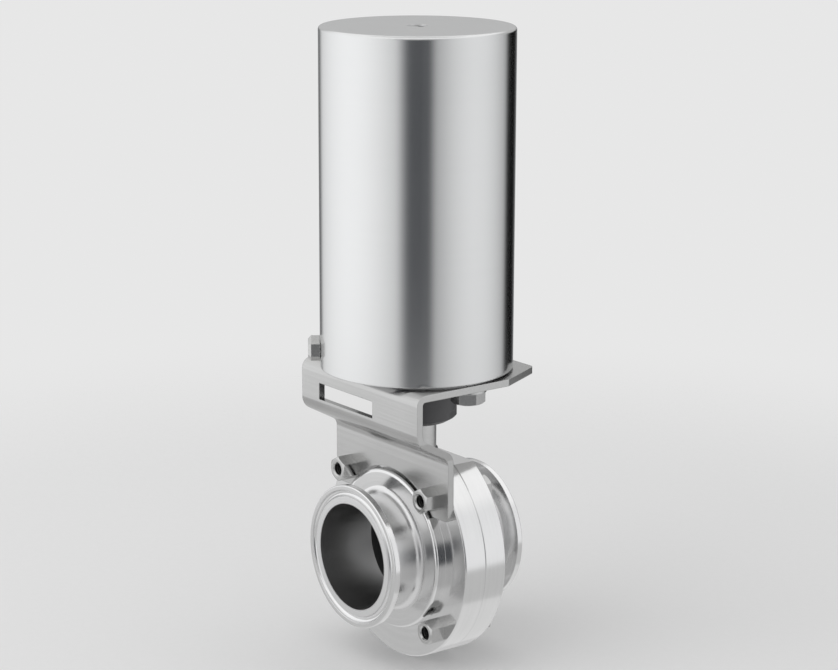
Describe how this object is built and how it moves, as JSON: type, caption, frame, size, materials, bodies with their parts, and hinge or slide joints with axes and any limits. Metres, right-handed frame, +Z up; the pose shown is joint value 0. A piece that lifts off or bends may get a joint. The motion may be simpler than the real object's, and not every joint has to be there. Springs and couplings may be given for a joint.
{
  "type": "sanitary butterfly valve",
  "caption": "Two-piece butterfly valve with clamp ferrules and rubber seat, turned a quarter by an upright spring-return air cylinder standing on a bent sheet bracket.",
  "frame": {"origin": "where the pipe axis crosses the stem axis, in the split plane of the body", "axes": "+Y along the pipe from the bracket's side to the back, +Z up the stem to the actuator, +X to the right"},
  "size_m": [0.1, 0.085, 0.281],
  "materials": {
    "body_steel": "turned and polished stainless steel",
    "can_steel": "brushed stainless tube",
    "sheet_steel": "bent stainless sheet",
    "bolt_steel": "stainless fasteners",
    "turned_steel": "turned steel",
    "spring_steel": "drawn spring wire",
    "seat_rubber": "moulded black rubber",
    "seal_rubber": "black rubber cord",
    "bush_polymer": "moulded bearing polymer",
    "ring_plastic": "dark moulded plastic",
    "bearing_bronze": "sintered bronze",
    "cover_aluminium": "turned aluminium"
  },
  "bodies": {
    "housing": {"body_front": "body_steel", "body_rear": "body_steel", "seat_ring": "seat_rubber", "upper_stem_bush": "bush_polymer", "lower_stem_bush": "bush_polymer", "upper_body_bolts": "bolt_steel", "lower_body_bolts": "bolt_steel", "body_nuts": "bolt_steel", "bracket": "sheet_steel", "bracket_bolts": "bolt_steel", "bracket_washers": "bolt_steel", "shaft_bush": "bearing_bronze", "shaft_seal": "seal_rubber", "thrust_washer": "bearing_bronze", "bottom_cover": "cover_aluminium", "cover_seal": "seal_rubber", "retaining_wire": "spring_steel", "guide_sleeve": "turned_steel", "actuator_can": "can_steel", "vent_plug": "turned_steel", "air_fitting": "turned_steel", "spring_seat": "turned_steel", "closing_spring": "spring_steel"},
    "disc_and_shaft": {"disc": "body_steel", "coupling": "turned_steel", "position_ring": "ring_plastic", "output_shaft": "turned_steel", "shaft_clip": "spring_steel"},
    "piston_set": {"piston": "cover_aluminium", "piston_seal": "seal_rubber", "piston_guide_band": "bush_polymer", "pin_carrier": "turned_steel", "cross_pin": "turned_steel", "inner_rollers": "turned_steel", "outer_rollers": "turned_steel"}
  },
  "joints": [
    {"name": "disc_turn", "type": "hinge", "parent": "housing", "child": "disc_and_shaft", "pos_m": [0, 0, 0], "axis": [0, 0, 1], "range_deg": [0, 90]},
    {"name": "piston_stroke", "type": "slide", "parent": "housing", "child": "piston_set", "axis": [0, 0, 1], "range_m": [0, 0.04], "stiffness_N_per_m": 4300, "springref_m": -0.071, "deforming": ["closing_spring"]}
  ],
  "couplings": [
    {"joint": "disc_turn", "follows": "piston_stroke", "rad_per_m": 39.27}
  ]
}
